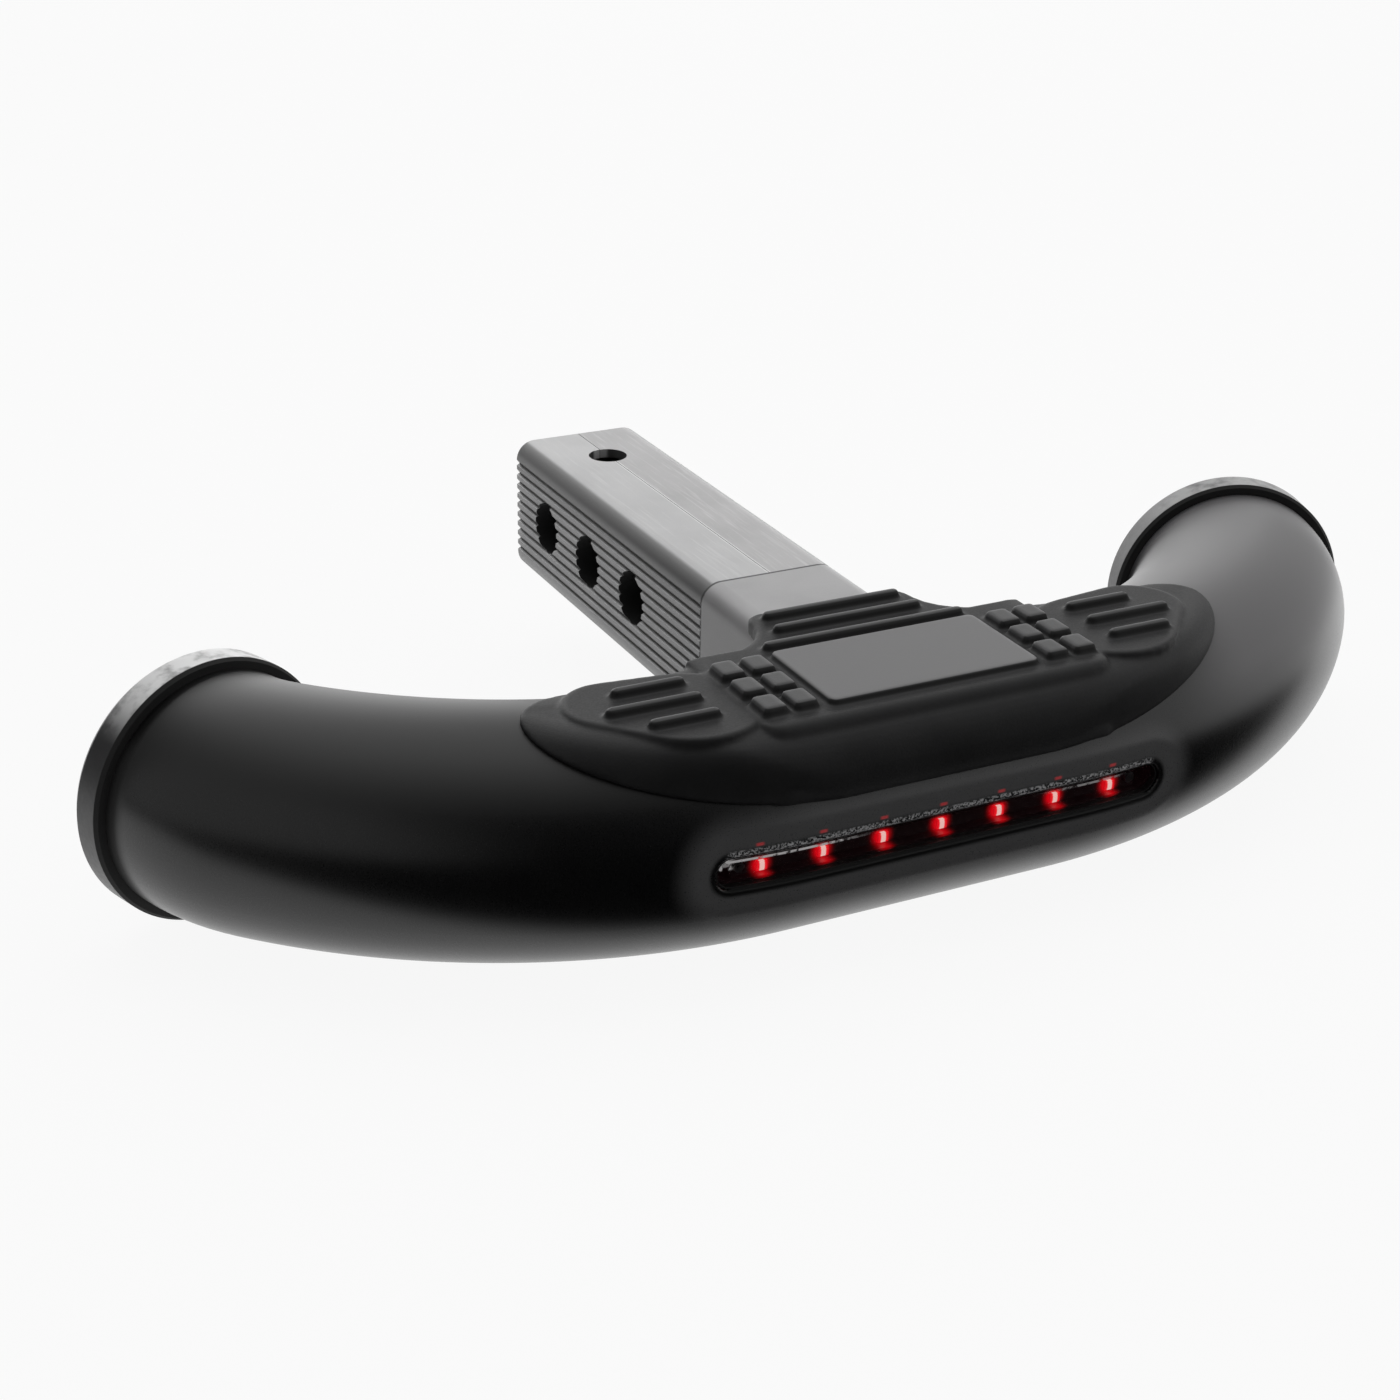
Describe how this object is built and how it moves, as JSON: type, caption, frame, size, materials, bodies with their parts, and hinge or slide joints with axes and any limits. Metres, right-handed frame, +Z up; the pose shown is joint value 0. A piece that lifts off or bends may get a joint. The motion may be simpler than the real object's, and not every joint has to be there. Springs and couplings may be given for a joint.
{
  "type": "hitch_receiver_step",
  "caption": "Bumper step for a tow hitch: bent steel tube with a rubber tread pad on top, a red lamp bar in its front face, end caps and a square shank in a ribbed adapter sleeve.",
  "frame": {"origin": "centre of the shank at its middle pin hole", "axes": "+X across the vehicle along the pin hole, +Y along the shank towards the vehicle, +Z up"},
  "size_m": [0.4596, 0.2692, 0.0855],
  "materials": {
    "black_tube": "satin",
    "black_steel": "matte",
    "cap_plastic": "matte",
    "black_plastic": "matte",
    "grey_plastic": "satin",
    "pad_rubber": "matte",
    "seal_rubber": "matte",
    "lens_plastic": "gloss",
    "board_plastic": "satin",
    "diode_glow": "gloss",
    "chip_plastic": "matte",
    "terminal_plastic": "matte",
    "zinc_steel": "satin"
  },
  "bodies": {
    "root": {"step_tube": "black_tube", "end_cap_left": "cap_plastic", "end_cap_right": "cap_plastic", "shank_bar": "black_steel", "shank_plug": "black_plastic", "shank_collar": "grey_plastic", "sleeve_left": "grey_plastic", "sleeve_right": "grey_plastic", "step_pad": "pad_rubber", "pad_pegs": "black_plastic", "light_housing": "black_plastic", "light_gasket": "seal_rubber", "light_lens": "lens_plastic", "light_board": "board_plastic", "light_leds": "diode_glow", "light_resistors": "chip_plastic", "light_diode": "chip_plastic", "light_terminal": "terminal_plastic", "board_screws": "zinc_steel", "light_clips": "zinc_steel", "lead_grommet": "seal_rubber"}
  },
  "joints": []
}
